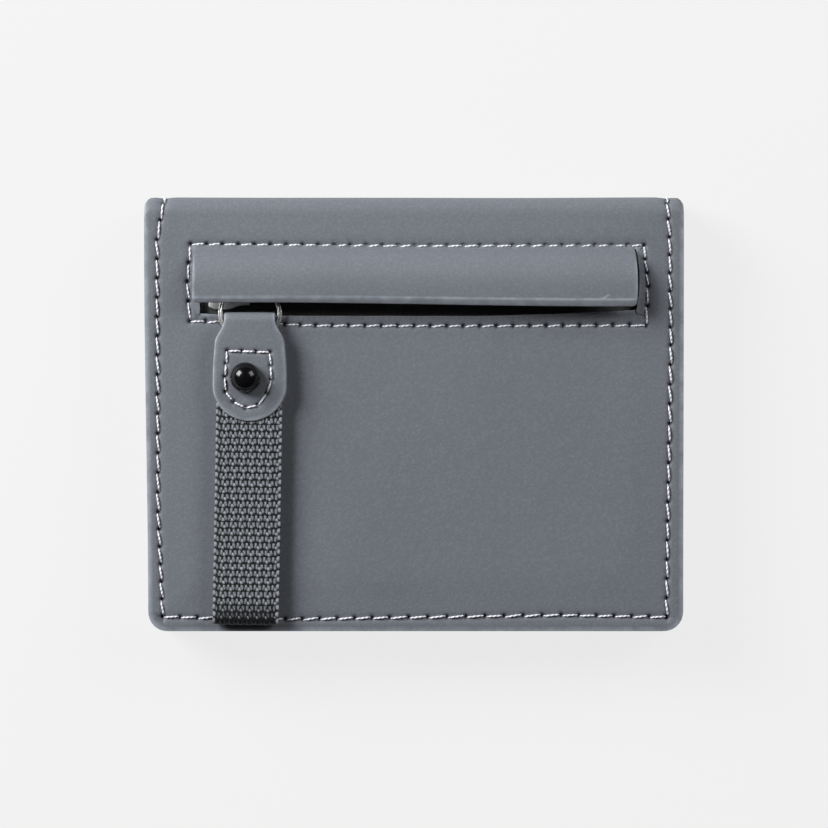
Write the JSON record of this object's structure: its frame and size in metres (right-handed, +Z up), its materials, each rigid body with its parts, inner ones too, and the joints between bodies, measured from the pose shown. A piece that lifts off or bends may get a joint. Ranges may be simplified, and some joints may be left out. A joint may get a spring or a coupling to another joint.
{
  "type": "bifold wallet",
  "caption": "Small bifold leather wallet with card slots inside, a flap-covered zip pocket outside and a webbing pull on a ring.",
  "frame": {"origin": "centre of the closed wallet's outline, on the surface that it lies on", "axes": "+X along the fold towards the end where the zip opens to, +Y towards the fold, +Z up out of the zipped side"},
  "size_m": [0.11, 0.0886, 0.0208],
  "materials": {
    "cover_leather": "matte grained blue-grey leather",
    "inner_leather": "matte smooth blue-grey leather",
    "lining": "black woven lining",
    "thread": "pale grey sewing thread",
    "zip_tape": "black woven zip tape",
    "zip_coil": "black nylon coil",
    "bright_metal": "polished nickel",
    "black_enamel": "gloss black enamel",
    "webbing": "ribbed grey woven webbing"
  },
  "bodies": {
    "front_half": {"front_cover": "cover_leather", "front_lining": "lining", "note_divider": "inner_leather", "front_card_slot_1": "inner_leather", "front_card_slot_2": "inner_leather", "front_card_slot_3": "inner_leather", "front_edge_stitching": "thread"},
    "spine": {"spine_cover": "cover_leather", "spine_lining": "lining", "spine_stitching": "thread"},
    "back_half": {"back_cover": "cover_leather", "back_edge_stitching": "thread", "zip_pocket_stitching": "thread", "coin_pocket_gusset": "inner_leather", "coin_pocket_front": "lining", "coin_pocket_back": "lining", "zip_tape_upper": "zip_tape", "zip_tape_lower": "zip_tape", "zip_coil_upper": "zip_coil", "zip_coil_lower": "zip_coil", "zip_stop_closed": "bright_metal", "zip_stop_open": "bright_metal", "back_divider": "inner_leather", "back_card_slot_1": "inner_leather", "back_card_slot_2": "inner_leather", "back_card_slot_3": "inner_leather"},
    "zip_flap": {"zip_flap": "cover_leather"},
    "zip_slider": {"slider_body": "bright_metal", "slider_bail": "bright_metal"},
    "pull_ring": {"pull_ring": "bright_metal"},
    "pull_tab": {"pull_tab_leather": "cover_leather", "rivet_post": "bright_metal", "rivet_ball": "black_enamel", "pull_tab_stitching": "thread", "webbing_ends": "webbing"},
    "pull_webbing": {"webbing_loop": "webbing"}
  },
  "joints": [
    {"name": "lower_fold", "type": "hinge", "parent": "front_half", "child": "spine", "pos_m": [0, 0.04355, 0.0007], "axis": [-1, 0, 0], "range_deg": [0, 90]},
    {"name": "upper_fold", "type": "hinge", "parent": "spine", "child": "back_half", "pos_m": [0, 0.04355, 0.0123], "axis": [-1, 0, 0], "range_deg": [0, 90]},
    {"name": "flap_lift", "type": "hinge", "parent": "back_half", "child": "zip_flap", "pos_m": [0.00015, 0.0335, 0.013], "axis": [-1, 0, 0], "range_deg": [0, 60]},
    {"name": "zip_slide", "type": "slide", "parent": "back_half", "child": "zip_slider", "axis": [1, 0, 0], "range_m": [0, 0.077]},
    {"name": "ring_lift", "type": "hinge", "parent": "zip_slider", "child": "pull_ring", "pos_m": [-0.03675, 0.0246, 0.0146], "axis": [-1, 0, 0], "range_deg": [0, 25]},
    {"name": "tab_swing", "type": "hinge", "parent": "pull_ring", "child": "pull_tab", "pos_m": [-0.03335, 0.0205, 0.0146], "axis": [0, 0, 1], "range_deg": [-15, 15]},
    {"name": "webbing_bend", "type": "hinge", "parent": "pull_tab", "child": "pull_webbing", "pos_m": [-0.03335, -0.0023, 0.01495], "axis": [-1, 0, 0], "range_deg": [0, 45]}
  ],
  "couplings": [
    {"joint": "upper_fold", "follows": "lower_fold", "ratio": 1}
  ]
}
